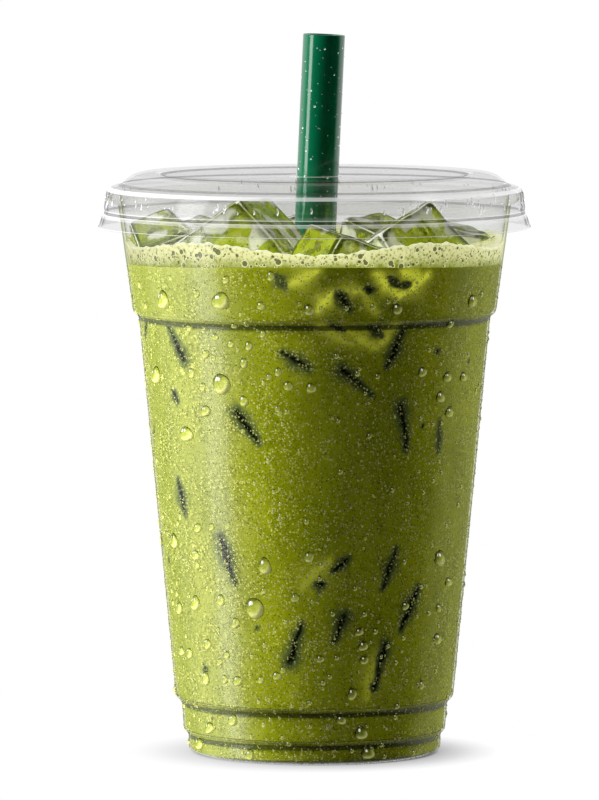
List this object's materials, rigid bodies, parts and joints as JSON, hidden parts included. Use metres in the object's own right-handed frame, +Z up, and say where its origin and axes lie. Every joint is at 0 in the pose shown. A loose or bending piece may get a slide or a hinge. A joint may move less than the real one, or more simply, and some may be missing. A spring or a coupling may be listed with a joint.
{
  "type": "iced matcha latte",
  "caption": "Iced green tea latte with foam and ice cubes in a clear plastic take-away cup, with a flat clear lid and a wide green straw.",
  "frame": {"origin": "middle of the cup's foot, on the surface it stands on", "axes": "+Z up, +X to the right as the front is seen, -Y towards the viewer of the front"},
  "size_m": [0.1036, 0.1036, 0.1725],
  "materials": {
    "cup_plastic": "clear plastic",
    "lid_plastic": "clear plastic",
    "straw_plastic": "smooth",
    "matcha": "opaque liquid",
    "matcha_foam": "fine foam",
    "ice": "wet, clear"
  },
  "bodies": {
    "root": {"cup": "cup_plastic", "lid": "lid_plastic", "straw": "straw_plastic", "drink": "matcha", "foam": "matcha_foam", "ice_left": "ice", "ice_tall": "ice", "ice_front": "ice", "ice_right": "ice", "ice_right_back": "ice", "ice_back_right": "ice", "ice_back": "ice", "ice_back_left": "ice"}
  },
  "joints": []
}
